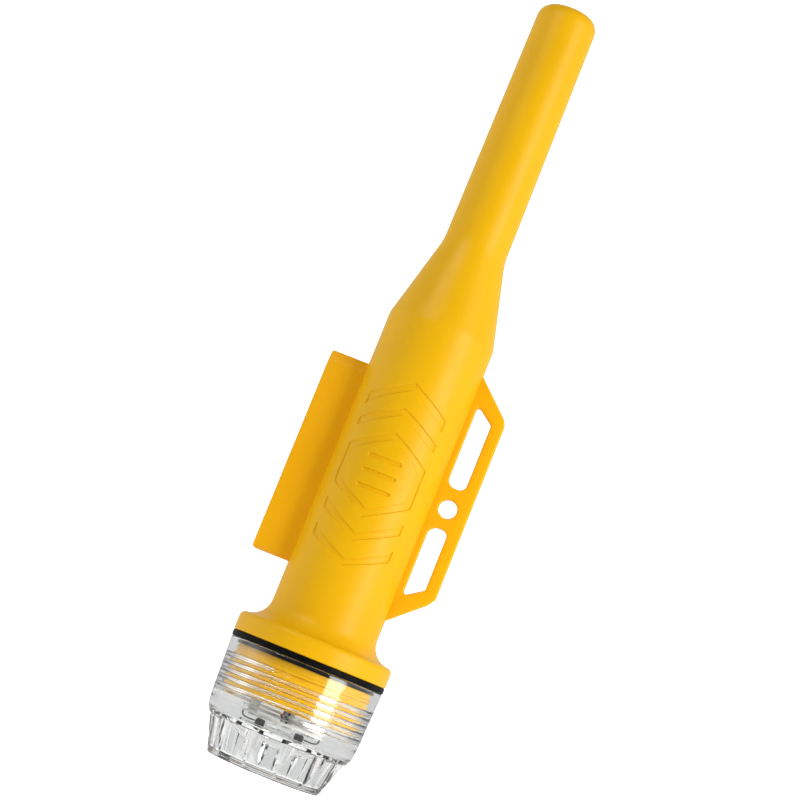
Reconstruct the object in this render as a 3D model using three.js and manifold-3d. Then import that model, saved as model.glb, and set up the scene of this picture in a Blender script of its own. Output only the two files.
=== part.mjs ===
// Floating net-marker buoy with a tracking transmitter, standing upright on its lens cap.
// Millimetres, +Z up. The origin is the centre of the lens cap's flat bottom face, the rope plate
// points along +X, the side pod along -X, and the moulded chevron panel faces -Y.

import * as THREE from "three";
import { mergeVertices } from "three/addons/utils/BufferGeometryUtils.js";
import Module from "manifold-3d";

const wasm = await Module();
wasm.setup();

// ---- Driving dimensions -------------------------------------------------------------------

const GAP = 0.3; // space kept between two pieces that touch
const ROUND = 36; // sides on the large round pieces
const SMALL_ROUND = 12; // sides on screws, cells and posts

const TIP_TOP = 506.5;
const TIP_CORNER = 9; // radius round the rim of the mast's nearly flat end
const TIP_CROWN = 1.6; // how far that end rises from the corner to its middle
const TUBE_R_TOP = 19.1;
const TUBE_R_BASE = 20.2;
const CONE_TOP = 342;
const SHOULDER = 288; // where the antenna cone meets the float body
const BODY_R = 34;
const BORE_R = 31;
const MAST_WALL = 2.4;

const FLANGE_R = 49;
const FLANGE_FACE = 74; // underside of the flange, which the seal presses on
const FLANGE_TOP = 86;
const FILLET_R = 13; // sweep from the float body out to the flange

const NECK_R = 42.6;
const NECK_END = 40.3;
const NECK_BORE_R = 38.5;
const PITCH = 4.5;
const RIDGE_H = 1.4;
const NECK_THREAD = { from: 44.2, turns: 4.75 };
const O_RING = { low: 67.4, high: 69.2 };
const CAP_THREAD = { from: NECK_THREAD.from - 1.5 * PITCH, turns: 5 };

const CAP_RIM = FLANGE_FACE - 4;
const CAP_BORE_R = 44.5;
const LENS_TOP = 22.8;
const LENS_FLOOR = 4.5;
const FLUTES = 12;
const FLUTE_ROOT_R = 37;

const POD = { out: 57.5, half: 8, low: 123.5, high: 253, wall: 2.6 };
const PLATE = { out: 57.5, thick: 7 };
const ROPE_HOLE = { x: 44, z: 188.2, r: 5.7 };

const END_PLATE = { r: 38, low: 41.4, thick: 2.8, screwAt: 34.8 };
const LED_BOARD = { r: 27, low: 33.2, thick: 1.5, postAt: 22 };
const REED = { z: 28.8, r: 1.9, glass: 9.3, sleeve: 15.4, lead: 24.5 };

const CELL = { r: 9.2, length: 65, low: 68, off: 9.6 };
const MAIN_BOARD = { width: 50, low: 146, length: 106, y: 8, thick: 1.6 };
const SLED = { y: 24, thick: 2.5, width: 29, low: 46, high: 258 };
const BULKHEAD = { low: 264, thick: 3 };
const ROD = { r: 3, low: 268, high: 478 };

// ---- Materials ----------------------------------------------------------------------------

const finish = (color, roughness, metalness = 0, extra = {}) =>
  new THREE.MeshStandardMaterial({ color, roughness, metalness, ...extra });

const SHELL_YELLOW = finish(0xf3b410, 0.42);
const CLEAR = finish(0xeef2f2, 0.08, 0, { transparent: true, opacity: 0.35 });
const RUBBER = finish(0x101010, 0.7);
const WHITE_PLASTIC = finish(0xe9e9e4, 0.5);
const BLACK_PLASTIC = finish(0x17181a, 0.55);
const BOARD_WHITE = finish(0xeceae2, 0.45);
const BOARD_GREEN = finish(0x1e5a38, 0.45);
const STEEL = finish(0xb9bcc0, 0.3, 1);
const COPPER = finish(0xb87333, 0.35, 1);
const CELL_WRAP = finish(0x2f7f93, 0.4);
const CERAMIC = finish(0xd8cbb0, 0.5);
const LED_FACE = finish(0xf1e6a0, 0.35);
const FOAM = finish(0x3a3a3c, 0.9);
const RED_WIRE = finish(0xb01818, 0.5);
const BLACK_WIRE = finish(0x151515, 0.5);

// ---- Solids -------------------------------------------------------------------------------

function solid(geometry) {
  const bare = geometry.clone();
  bare.deleteAttribute("normal");
  bare.deleteAttribute("uv");
  const merged = mergeVertices(bare, 1e-4);
  return new wasm.Manifold(
    new wasm.Mesh({
      numProp: 3,
      vertProperties: merged.attributes.position.array,
      triVerts: new Uint32Array(merged.index.array),
    }),
  );
}

function geometryOf(manifold) {
  const made = manifold.getMesh();
  const corners = new Float32Array(made.numVert * 3);
  for (let i = 0; i < made.numVert; i++)
    corners.set(made.vertProperties.subarray(i * made.numProp, i * made.numProp + 3), i * 3);
  const geometry = new THREE.BufferGeometry();
  geometry.setAttribute("position", new THREE.BufferAttribute(corners, 3));
  geometry.setIndex(new THREE.BufferAttribute(made.triVerts, 1));
  geometry.computeVertexNormals();
  return geometry;
}

// A profile of [radius, height] points, turned about Z. It runs anticlockwise around its material.
function revolve(profile, sides = ROUND) {
  const points = profile.map(([r, z]) => new THREE.Vector2(r, z));
  return new THREE.LatheGeometry(points, sides).rotateX(Math.PI / 2);
}

const ring = (inner, outer, low, high, sides = ROUND) =>
  revolve([[inner, low], [outer, low], [outer, high], [inner, high], [inner, low]], sides);

const disc = (r, low, high, sides = ROUND) =>
  revolve([[0, low], [r, low], [r, high], [0, high]], sides);

function arc(r0, z0, radius, from, to, steps) {
  const points = [];
  for (let i = 0; i <= steps; i++) {
    const a = THREE.MathUtils.degToRad(from + ((to - from) * i) / steps);
    points.push([r0 + radius * Math.cos(a), z0 + radius * Math.sin(a)]);
  }
  return points;
}

const box = (x0, x1, y0, y1, z0, z1) =>
  new THREE.BoxGeometry(x1 - x0, y1 - y0, z1 - z0).translate(
    (x0 + x1) / 2, (y0 + y1) / 2, (z0 + z1) / 2,
  );

const onRing = (radius, degrees) => [
  radius * Math.cos(THREE.MathUtils.degToRad(degrees)),
  radius * Math.sin(THREE.MathUtils.degToRad(degrees)),
];

// An outline in the XZ plane given thickness about Y = 0.
function plateXZ(shape, thick, curveSegments = 6) {
  const made = new THREE.ExtrudeGeometry(shape, {
    depth: thick, bevelEnabled: false, curveSegments,
  });
  return made.rotateX(Math.PI / 2).translate(0, thick / 2, 0);
}

// One helical ridge, its section a trapezium that narrows from its root to its crest.
function threadRidge(rootR, crestR, from, turns, rootHalf = 1.35, crestHalf = 0.65) {
  const stations = Math.round(turns * ROUND);
  const outwards = crestR > rootR ? 1 : -1;
  const section = [
    [rootR, -rootHalf], [crestR, -crestHalf], [crestR, crestHalf], [rootR, rootHalf],
  ];
  if (outwards < 0) section.reverse();
  const corners = [];
  for (let i = 0; i <= stations; i++) {
    const turn = (i / ROUND) * 2 * Math.PI;
    const z = from + (i / ROUND) * PITCH;
    for (const [r, dz] of section)
      corners.push(r * Math.sin(turn), -r * Math.cos(turn), z + dz);
  }
  const faces = [];
  for (let i = 0; i < stations; i++)
    for (let k = 0; k < 4; k++) {
      const a = i * 4 + k;
      const b = i * 4 + ((k + 1) % 4);
      faces.push(a, a + 4, b, b, a + 4, b + 4);
    }
  const last = stations * 4;
  faces.push(0, 1, 2, 0, 2, 3, last, last + 2, last + 1, last, last + 3, last + 2);
  const ridge = new THREE.BufferGeometry();
  ridge.setAttribute("position", new THREE.Float32BufferAttribute(corners, 3));
  ridge.setIndex(faces);
  return ridge;
}

// A pan-head screw with a cross recess. It points up, with its head's bearing face at z = 0.
function screwGeometry(headR, shankR, length) {
  const headH = headR * 0.62;
  const profile = [
    [0, -headH], [headR * 0.75, -headH], [headR, -headH * 0.55], [headR, 0],
    [shankR, 0], [shankR, length - shankR], [0, length],
  ];
  const slot = headR * 0.62;
  const wide = headR * 0.13;
  const deep = headH * 0.5;
  return geometryOf(
    solid(revolve(profile, SMALL_ROUND))
      .subtract(solid(box(-slot, slot, -wide, wide, -headH - 1, -headH + deep)))
      .subtract(solid(box(-wide, wide, -slot, slot, -headH - 1, -headH + deep))),
  );
}

// A wire or rod of round section that follows a smooth curve through the points.
function wire(points, radius, sides = 6, steps = 14) {
  const curve = new THREE.CatmullRomCurve3(points.map((p) => new THREE.Vector3(...p)));
  const section = new THREE.Shape();
  for (let i = 0; i < sides; i++) {
    const a = (i / sides) * 2 * Math.PI;
    section[i ? "lineTo" : "moveTo"](radius * Math.cos(a), radius * Math.sin(a));
  }
  return new THREE.ExtrudeGeometry(section, { steps, extrudePath: curve });
}

const buoy = new THREE.Group();

function add(name, geometry, material, position = [0, 0, 0]) {
  const piece = new THREE.Mesh(geometry, material);
  piece.name = name;
  piece.position.set(...position);
  buoy.add(piece);
}

// ---- Float body: one moulding with the flange, neck, side pod and rope plate ------------------

function bodyOutline() {
  const sweep = arc(BODY_R + FILLET_R, FLANGE_TOP + FILLET_R, FILLET_R, 270, 180, 7);
  return revolve([
    [0, NECK_END], [NECK_R - 0.6, NECK_END], [NECK_R, NECK_END + 0.6], [NECK_R, FLANGE_FACE],
    [FLANGE_R, FLANGE_FACE], [FLANGE_R, 79], [48.6, 84], [47.9, 85.4],
    ...sweep, [BODY_R, SHOULDER - GAP], [0, SHOULDER - GAP],
  ]);
}

function podSolid() {
  const { out, half, low, high } = POD;
  const section = new THREE.Shape([
    new THREE.Vector2(-half, low + 3), new THREE.Vector2(-half + 2.5, low),
    new THREE.Vector2(half - 2.5, low), new THREE.Vector2(half, low + 3),
    new THREE.Vector2(half, high - 7), new THREE.Vector2(half - 3, high),
    new THREE.Vector2(3 - half, high), new THREE.Vector2(-half, high - 7),
  ]);
  const inside = 24;
  const made = new THREE.ExtrudeGeometry(section, { depth: out - inside, bevelEnabled: false });
  // The section lies in the YZ plane and runs along +X.
  return made.applyMatrix4(
    new THREE.Matrix4().makeBasis(
      new THREE.Vector3(0, 1, 0), new THREE.Vector3(0, 0, 1), new THREE.Vector3(1, 0, 0),
    ),
  ).translate(-out, 0, 0);
}

// A window with straight sides. Its sloping end keeps the frame's width along the plate's corner.
function slotPath({ left, right, square, slope, corner, big }) {
  const up = Math.sign(square - slope.left);
  const path = new THREE.Path();
  path.moveTo(right, slope.right);
  path.lineTo(right, square - up * corner);
  path.quadraticCurveTo(right, square, right - corner, square);
  path.lineTo(left + big, square);
  path.quadraticCurveTo(left, square, left, square - up * big);
  path.lineTo(left, slope.left + up * 2);
  path.quadraticCurveTo(left, slope.left, left + 1.7, slope.left + up * 1.2);
  path.lineTo(right, slope.right);
  return path;
}

function ropePlate() {
  const inside = 24;
  const outline = new THREE.Shape();
  outline.moveTo(inside, 105);
  outline.lineTo(BODY_R - 0.5, 111.5);
  outline.lineTo(53.6, 129.6);
  outline.quadraticCurveTo(PLATE.out, 133.3, PLATE.out, 139);
  outline.lineTo(PLATE.out, 243);
  outline.quadraticCurveTo(PLATE.out, 250.6, 52.4, 255.6);
  outline.lineTo(BODY_R - 0.5, 272);
  outline.lineTo(inside, 279);
  outline.closePath();
  const hole = new THREE.Path();
  hole.absarc(ROPE_HOLE.x, ROPE_HOLE.z, ROPE_HOLE.r, 0, 2 * Math.PI, true);
  outline.holes.push(
    slotPath({
      left: 37.8, right: 49.5, square: 201.5, slope: { left: 254, right: 245.2 }, corner: 3, big: 5.5,
    }),
    slotPath({
      left: 37.8, right: 49.5, square: 175.5, slope: { left: 129.8, right: 137.6 }, corner: 5, big: 5.5,
    }),
    hole,
  );
  return plateXZ(outline, PLATE.thick);
}

function bodyShell() {
  const { out, half, low, high, wall } = POD;
  const bore = revolve([
    [0, NECK_END - 1], [NECK_BORE_R, NECK_END - 1], [NECK_BORE_R, 70], [BORE_R, 80],
    [BORE_R, SHOULDER + 1], [0, SHOULDER + 1],
  ]);
  const podHollow = box(wall - out, -28, wall - half, half - wall, low + wall, high - wall - 1);
  const ridge = threadRidge(
    NECK_R - 0.3, NECK_R + RIDGE_H, NECK_THREAD.from, NECK_THREAD.turns,
  );
  let made = solid(bodyOutline())
    .add(solid(podSolid()))
    .add(solid(ropePlate()))
    .subtract(solid(bore))
    .subtract(solid(podHollow))
    .add(solid(ridge));
  const bossLow = END_PLATE.low + END_PLATE.thick + GAP;
  for (let i = 0; i < 4; i++) {
    const [x, y] = onRing(END_PLATE.screwAt, 45 + 90 * i);
    made = made
      .add(solid(disc(4.2, bossLow, bossLow + 16, SMALL_ROUND).translate(x, y, 0)))
      .subtract(solid(disc(1.75, bossLow - 1, bossLow + 12, SMALL_ROUND).translate(x, y, 0)));
  }
  return geometryOf(made);
}

// ---- Antenna mast: a cone bonded into the float body, and a domed tube over the cone's spigot ----

function antennaCone() {
  const spigotLow = SHOULDER - 11;
  const spigotHigh = CONE_TOP + 10;
  const collar = TUBE_R_BASE - MAST_WALL - GAP;
  return revolve([
    [BORE_R - 3, spigotLow], [BORE_R - GAP, spigotLow], [BORE_R - GAP, SHOULDER],
    [BODY_R - 0.1, SHOULDER], [TUBE_R_BASE, CONE_TOP], [collar, CONE_TOP], [collar, spigotHigh],
    [collar - 2.2, spigotHigh], [collar - 2.2, CONE_TOP - 4], [BORE_R - 3, SHOULDER],
    [BORE_R - 3, spigotLow],
  ]);
}

function antennaTube() {
  const flatR = TUBE_R_TOP - TIP_CORNER;
  const cornerZ = TIP_TOP - TIP_CROWN - TIP_CORNER;
  return revolve([
    [0, TIP_TOP - MAST_WALL], ...arc(flatR, cornerZ, TIP_CORNER - MAST_WALL, 90, 0, 4),
    [TUBE_R_BASE - MAST_WALL, CONE_TOP + GAP], [TUBE_R_BASE, CONE_TOP + GAP],
    ...arc(flatR, cornerZ, TIP_CORNER, 0, 90, 6), [flatR / 2, TIP_TOP - TIP_CROWN / 4], [0, TIP_TOP],
  ]);
}

// ---- Lens cap: clear screw cap with a fluted, tapering lens -----------------------------------

function lensCap() {
  const outer = revolve([
    [0, 0], [35.2, 0], [36.6, 1], [37.1, 2.6], [43.2, LENS_TOP - 0.3], [43.9, LENS_TOP + 0.4],
    [46.3, 27.4], [47.2, 34], [48.1, 59], [48.7, CAP_RIM - 0.8], [48.3, CAP_RIM], [0, CAP_RIM],
  ]);
  const hollow = revolve([
    [0, LENS_FLOOR], [31.5, LENS_FLOOR], [33.2, LENS_FLOOR + 1.8], [34.3, LENS_TOP - 0.2],
    [35, LENS_TOP + 0.7], [42.2, LENS_TOP + 2.2], [44, 27.2], [CAP_BORE_R, 32.4],
    [CAP_BORE_R, CAP_RIM + 1], [0, CAP_RIM + 1],
  ]);
  const ridge = threadRidge(
    CAP_BORE_R + 0.3, CAP_BORE_R - RIDGE_H, CAP_THREAD.from, CAP_THREAD.turns,
  );
  let made = solid(outer).subtract(solid(hollow)).add(solid(ridge));
  const flute = new THREE.Shape([
    new THREE.Vector2(FLUTE_ROOT_R, 0), new THREE.Vector2(FLUTE_ROOT_R + 12, -10.9),
    new THREE.Vector2(FLUTE_ROOT_R + 12, 10.9),
  ]);
  for (let i = 0; i < FLUTES; i++) {
    const groove = new THREE.ExtrudeGeometry(flute, { depth: LENS_TOP + 1, bevelEnabled: false });
    groove.translate(0, 0, -1).rotateZ(((i + 0.5) / FLUTES) * 2 * Math.PI);
    made = made.subtract(solid(groove));
  }
  return geometryOf(made);
}

function sealRing() {
  return ring(44.9, FLANGE_R - 0.1, CAP_RIM + GAP, FLANGE_FACE - GAP);
}

function neckORing() {
  const { low, high } = O_RING;
  const mid = (low + high) / 2;
  return revolve([
    [NECK_R + GAP, low + 0.3], [43.5, low], [CAP_BORE_R - GAP, mid], [43.5, high],
    [NECK_R + GAP, high - 0.3], [NECK_R + GAP, low + 0.3],
  ]);
}

// ---- Light and switch group at the neck's mouth ----------------------------------------------

function endPlate() {
  const { r, low, thick, screwAt } = END_PLATE;
  let made = solid(disc(r, low, low + thick));
  for (let i = 0; i < 3; i++) {
    const [x, y] = onRing(LED_BOARD.postAt, 90 + 120 * i);
    const postLow = LED_BOARD.low + LED_BOARD.thick + GAP;
    made = made
      .add(solid(disc(3, postLow, low + 0.5, SMALL_ROUND).translate(x, y, 0)))
      .subtract(solid(disc(1.3, postLow - 1, low + 1, SMALL_ROUND).translate(x, y, 0)));
  }
  for (let i = 0; i < 4; i++) {
    const [x, y] = onRing(screwAt, 45 + 90 * i);
    made = made.subtract(solid(disc(1.75, low - 1, low + thick + 1, SMALL_ROUND).translate(x, y, 0)));
  }
  const wireWay = disc(4, low - 1, low + thick + 1, SMALL_ROUND);
  const socketWay = box(-5.2, 5.2, 29.6, 34.4, low - 1, low + thick + 1);
  return geometryOf(made.subtract(solid(wireWay)).subtract(solid(socketWay)));
}

function ledBoard() {
  const { r, low, thick, postAt } = LED_BOARD;
  let made = solid(disc(r, low, low + thick));
  for (let i = 0; i < 3; i++) {
    const [x, y] = onRing(postAt, 90 + 120 * i);
    made = made.subtract(solid(disc(1.4, low - 1, low + thick + 1, SMALL_ROUND).translate(x, y, 0)));
  }
  return geometryOf(made);
}

function addLightGroup() {
  add("end_plate", endPlate(), WHITE_PLASTIC);
  const plateScrew = screwGeometry(3, 1.4, 12);
  for (let i = 0; i < 4; i++) {
    const [x, y] = onRing(END_PLATE.screwAt, 45 + 90 * i);
    add(`end_plate_screw_${i + 1}`, plateScrew, STEEL, [x, y, END_PLATE.low - GAP]);
  }
  add("led_board", ledBoard(), BOARD_WHITE);
  const boardScrew = screwGeometry(2.4, 1, 5.5);
  for (let i = 0; i < 3; i++) {
    const [x, y] = onRing(LED_BOARD.postAt, 90 + 120 * i);
    add(`led_board_screw_${i + 1}`, boardScrew, STEEL, [x, y, LED_BOARD.low - GAP]);
  }
  const ledTop = LED_BOARD.low - GAP;
  for (let i = 0; i < 6; i++) {
    const [x, y] = onRing(15, 60 * i);
    const led = box(-2.5, 2.5, -2.5, 2.5, ledTop - 1.5, ledTop).rotateZ((i * Math.PI) / 3);
    add(`led_${i + 1}`, led, LED_FACE, [x, y, 0]);
  }
  addReedSwitch();
  add("charge_socket", chargeSocket(), STEEL);
}

// A glass reed switch lies across the board's middle, with a black sleeve on each end.
function addReedSwitch() {
  const { z, r, glass, sleeve, lead } = REED;
  const front = -8; // the switch lies this far in front of the board's centre
  const tube = new THREE.CapsuleGeometry(r - GAP, 2 * (glass - r), 2, SMALL_ROUND);
  add("reed_glass", tube.rotateZ(Math.PI / 2), CLEAR, [0, front, z]);
  for (const [side, name] of [[-1, "left"], [1, "right"]]) {
    const length = sleeve - glass - GAP;
    const wrap = new THREE.CylinderGeometry(r + 0.6, r + 0.6, length, SMALL_ROUND);
    const middle = side * (glass + GAP + length / 2);
    add(`reed_sleeve_${name}`, wrap.rotateZ(Math.PI / 2), RUBBER, [middle, front, z]);
    const leadWire = wire([
      [side * (sleeve + GAP), front, z], [side * (lead - 3), front, z],
      [side * (lead - 0.6), front, z + 1], [side * lead, front, LED_BOARD.low - GAP],
    ], 0.55, 6, 10);
    add(`reed_lead_${name}`, leadWire, BLACK_WIRE);
  }
}

function chargeSocket() {
  const made = solid(box(-4.6, 4.6, 30.2, 33.8, 37.6, 46));
  return geometryOf(made.subtract(solid(box(-4, 4, 30.8, 33.2, 36, 43))));
}

// ---- Battery ---------------------------------------------------------------------------------

const cellCentres = [[-1, -1], [1, -1], [1, 1], [-1, 1]].map(([a, b]) => [a * CELL.off, b * CELL.off]);

function cellProfile() {
  const { r, length } = CELL;
  return revolve([
    [0, 0], [r - 0.6, 0], [r, 0.6], [r, length - 2.2], [r - 0.6, length - 1.4], [3, length - 1.4],
    [2.8, length], [0, length],
  ], SMALL_ROUND);
}

function cellHolder(low, high, pocketLow, pocketHigh) {
  const half = CELL.off + CELL.r + 0.4;
  const clip = solid(disc(27.5, low - 1, high + 1, 32));
  let made = solid(box(-half, half, -half, half, low, high)).intersect(clip);
  for (const [x, y] of cellCentres) {
    const pocket = disc(CELL.r + GAP, pocketLow, pocketHigh, SMALL_ROUND).translate(x, y, 0);
    const tabWay = disc(4, low - 1, high + 1, SMALL_ROUND).translate(x, y, 0);
    made = made.subtract(solid(pocket)).subtract(solid(tabWay));
  }
  return geometryOf(made);
}

function addBattery() {
  cellCentres.forEach(([x, y], i) => add(`battery_cell_${i + 1}`, cellProfile(), CELL_WRAP, [x, y, CELL.low]));
  const top = CELL.low + CELL.length;
  const lowHolder = { low: CELL.low - 3, high: CELL.low + 6 };
  const highHolder = { low: top - 7.4, high: top + 1.8 };
  add("cell_holder_lower", cellHolder(lowHolder.low, lowHolder.high, CELL.low - GAP, CELL.low + 7),
    BLACK_PLASTIC);
  add("cell_holder_upper", cellHolder(highHolder.low, highHolder.high, top - 8, top - 1.1),
    BLACK_PLASTIC);
  const reach = CELL.off + 3.5;
  const under = lowHolder.low - GAP;
  const over = highHolder.high + GAP;
  add("cell_strap_lower", box(-reach, reach, -reach, reach, under - 0.4, under), STEEL);
  add("cell_strap_front", box(-reach, reach, -reach, -CELL.off + 3.5, over, over + 0.4), STEEL);
  add("cell_strap_rear", box(-reach, reach, CELL.off - 3.5, reach, over, over + 0.4), STEEL);
}

// ---- Transmitter board on its sled -------------------------------------------------------------

const boardScrewPlaces = [[-21, 6], [21, 6], [21, 100], [-21, 100]];

function sled() {
  const { y, thick, width, low, high } = SLED;
  let made = solid(box(-width / 2, width / 2, y, y + thick, low, high));
  const front = MAIN_BOARD.y + MAIN_BOARD.thick / 2 + GAP;
  for (const z of [MAIN_BOARD.low + 6, MAIN_BOARD.low + 100]) {
    made = made.add(solid(box(-23.5, 23.5, front, front + 4, z - 3.5, z + 3.5)));
    made = made.add(solid(box(-6, 6, front + 3, y + 0.5, z - 3.5, z + 3.5)));
  }
  for (const [x, up] of boardScrewPlaces)
    made = made.subtract(solid(alongY(1.3, front - 1, front + 3.6, x, MAIN_BOARD.low + up)));
  return geometryOf(made);
}

// A round bar along Y.
const alongY = (r, y0, y1, x, z) =>
  new THREE.CylinderGeometry(r, r, y1 - y0, SMALL_ROUND).translate(x, (y0 + y1) / 2, z);

function mainBoard() {
  const { width, low, length, y, thick } = MAIN_BOARD;
  let made = solid(box(-width / 2, width / 2, y - thick / 2, y + thick / 2, low, low + length));
  for (const [x, up] of boardScrewPlaces)
    made = made.subtract(solid(alongY(1.4, y - 3, y + 3, x, low + up)));
  return geometryOf(made);
}

function addTransmitter() {
  add("chassis_sled", sled(), WHITE_PLASTIC);
  add("main_board", mainBoard(), BOARD_GREEN);
  const front = MAIN_BOARD.y - MAIN_BOARD.thick / 2 - GAP;
  const screw = screwGeometry(2.2, 1, 5).rotateX(-Math.PI / 2);
  boardScrewPlaces.forEach(([x, up], i) =>
    add(`main_board_screw_${i + 1}`, screw, STEEL, [x, front, MAIN_BOARD.low + up]));
  add("radio_shield", box(-14, 14, front - 3.4, front, 196, 232), STEEL);
  add("processor_chip", box(-6, 6, front - 1.4, front, 172, 184), BLACK_PLASTIC);
  add("antenna_bulkhead", geometryOf(
    solid(disc(BORE_R - GAP - 0.2, BULKHEAD.low, BULKHEAD.low + BULKHEAD.thick))
      .subtract(solid(disc(2.2, BULKHEAD.low - 1, BULKHEAD.low + 4, SMALL_ROUND)))
      .subtract(solid(box(-14, -9, 19, 22, BULKHEAD.low - 1, BULKHEAD.low + 4)))), WHITE_PLASTIC);
  const onBulkhead = BULKHEAD.low + BULKHEAD.thick + GAP;
  add("gnss_patch", box(-26, -8, -9, 9, onBulkhead, onBulkhead + 4), CERAMIC);
}

// ---- Antenna inside the mast ---------------------------------------------------------------------

class Coil extends THREE.Curve {
  getPoint(t, target = new THREE.Vector3()) {
    const turn = t * Coil.TURNS * 2 * Math.PI;
    return target.set(Coil.R * Math.cos(turn), Coil.R * Math.sin(turn), 363 + t * Coil.RISE);
  }
}
Coil.TURNS = 7;
Coil.R = 6;
Coil.RISE = 98;

function addAntenna() {
  const { r, low, high } = ROD;
  add("antenna_rod", revolve([
    [0, low - 1], [1.8, low - 1], [1.8, low], [7, low], [7, low + 5], [r, low + 6], [r, high], [0, high],
  ], SMALL_ROUND), WHITE_PLASTIC);
  const section = new THREE.Shape([[0.6, 0], [0, 0.6], [-0.6, 0], [0, -0.6]]
    .map(([x, y]) => new THREE.Vector2(x, y)));
  const coil = new THREE.ExtrudeGeometry(section, {
    steps: Coil.TURNS * 10, extrudePath: new Coil(),
  });
  add("antenna_coil", coil, COPPER);
  add("antenna_spacer_lower", ring(r + GAP, 16.8, 355, 361, 24), FOAM);
  add("antenna_spacer_upper", ring(r + GAP, 15.9, 465, 471, 24), FOAM);
}

// ---- Wiring -------------------------------------------------------------------------------------

function addWiring() {
  const boardBack = LED_BOARD.low + LED_BOARD.thick + GAP;
  for (const [x, name, material] of [[-1.6, "red", RED_WIRE], [1.6, "black", BLACK_WIRE]]) {
    add(`led_wire_${name}`, wire([
      [x, -1, boardBack], [x, -1, boardBack + 4], [x, 0, 46], [x * 2, 10, 54],
      [x * 2, 20.6, 63], [x * 2, 21.2, 90], [x * 2, 21.2, 138], [x * 2, 17, 144],
    ], 0.7, 6, 14), material);
  }
  add("antenna_coax", wire([
    [-11.5, 10.2, 251], [-11.5, 12.5, 255.5], [-11.5, 20.2, 261], [-11.5, 20.4, 268.5],
    [-10, 15, 272.6], [-7, 10, 273.2], [-5.2, 7.6, 272.4],
  ], 0.9, 6, 14), BLACK_WIRE);
}

add("body_shell", bodyShell(), SHELL_YELLOW);
add("antenna_cone", antennaCone(), SHELL_YELLOW);
add("antenna_tube", antennaTube(), SHELL_YELLOW);
add("lens_cap", lensCap(), CLEAR);
add("seal_ring", sealRing(), RUBBER);
add("neck_o_ring", neckORing(), RUBBER);
addLightGroup();
addBattery();
addTransmitter();
addAntenna();
addWiring();

export default buoy;
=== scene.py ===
"""Looks for the net-marker buoy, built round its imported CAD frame.

Helpers work in mm, and objects are in metres. The buoy stands on its lens cap along Z. Its panel
faces -Y, its rope plate points along +X and its side pod along -X.
"""

from math import atan2, ceil, cos, dist, pi, radians, sin, tan

import bmesh
import bpy
import numpy as np
from mathutils import Matrix, Vector
from mathutils.geometry import delaunay_2d_cdt


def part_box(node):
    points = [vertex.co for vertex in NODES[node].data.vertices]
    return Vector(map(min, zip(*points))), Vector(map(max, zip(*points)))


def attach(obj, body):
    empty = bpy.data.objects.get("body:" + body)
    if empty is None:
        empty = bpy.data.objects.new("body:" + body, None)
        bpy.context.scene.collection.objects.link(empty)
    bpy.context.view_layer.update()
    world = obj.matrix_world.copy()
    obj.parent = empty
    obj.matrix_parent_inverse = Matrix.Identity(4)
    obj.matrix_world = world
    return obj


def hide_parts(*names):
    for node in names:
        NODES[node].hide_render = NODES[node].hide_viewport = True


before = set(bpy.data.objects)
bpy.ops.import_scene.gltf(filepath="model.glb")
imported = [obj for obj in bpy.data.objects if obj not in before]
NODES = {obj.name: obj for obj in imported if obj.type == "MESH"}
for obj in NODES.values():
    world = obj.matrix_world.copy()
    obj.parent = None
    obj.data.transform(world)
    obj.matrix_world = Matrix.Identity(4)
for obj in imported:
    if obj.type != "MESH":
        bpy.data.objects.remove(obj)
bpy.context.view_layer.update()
MM = 0.001


def box_mm(node):
    lo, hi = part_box(node)
    return lo * 1000, hi * 1000


SHELL_LO, SHELL_HI = box_mm("body_shell")
CAP_HI = box_mm("lens_cap")[1]
TIP = box_mm("antenna_tube")[1].z

# ---- Dimensions, in mm ---------------------------------------------------------------------

BODY_R = 34.0
BORE_R = 31.0
NECK_R = 42.6
NECK_BORE_R = 38.5
NECK_END = SHELL_LO.z
FLANGE_R = SHELL_HI.y
FLANGE_FACE = 74.0  # the flange's underside, which the seal touches
PLATE_OUT = SHELL_HI.x
POD_OUT = -SHELL_LO.x
MOULDING_ROOT = 26  # where the plate and the pod start, hidden inside the body
BODY_TOP = 283.0  # just under the shoulder, where the side is still straight
CONE_EDGE = 342.0  # where the cone turns into the mast
CONE_TOP = 352.0  # just over that edge, where the mast is straight again
TUBE_R, TUBE_R_TOP = 20.2, 19.1
TUBE_END = TIP - 10.6  # where the round corner of the mast's tip starts
MAST_WALL = 2.4
CAP_RIM = CAP_HI.z
BORE_IN_CAP = 44.5
PITCH = 4.5
NECK_THREAD = (44.2, 4.75)  # height at which the ridge starts, and its number of turns
CAP_THREAD = (NECK_THREAD[0] - 1.5 * PITCH, 5.0)
RUN_OUT = 0.07  # the part of a turn in which a ridge rises from nothing
COLUMNS = 144  # steps round a turned surface

# ---- Camera --------------------------------------------------------------------------------


def add_camera():
    """A long lens at the height of the seal, pitched up a little and rolled: the buoy leans right."""
    azimuth, pitch, roll = radians(5.3), radians(6.7), radians(22.08)
    reach, height, left = 1.4534, 0.069, 0.008  # metres
    right = Vector((cos(azimuth), sin(azimuth), 0))
    away = Vector((sin(azimuth), -cos(azimuth), 0))
    data = bpy.data.cameras.new("camera")
    data.sensor_width = 36
    data.lens = 108
    data.clip_start = 0.05
    camera = bpy.data.objects.new("camera", data)
    bpy.context.scene.collection.objects.link(camera)
    camera.location = away * reach - right * left + Vector((0, 0, height))
    forward = -away * cos(pitch) + Vector((0, 0, sin(pitch)))
    camera.rotation_mode = "QUATERNION"
    level = forward.to_track_quat("-Z", "Y")
    camera.rotation_quaternion = level @ Matrix.Rotation(roll, 3, "Z").to_quaternion()
    bpy.context.scene.camera = camera


add_camera()

# ---- Materials -----------------------------------------------------------------------------


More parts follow.
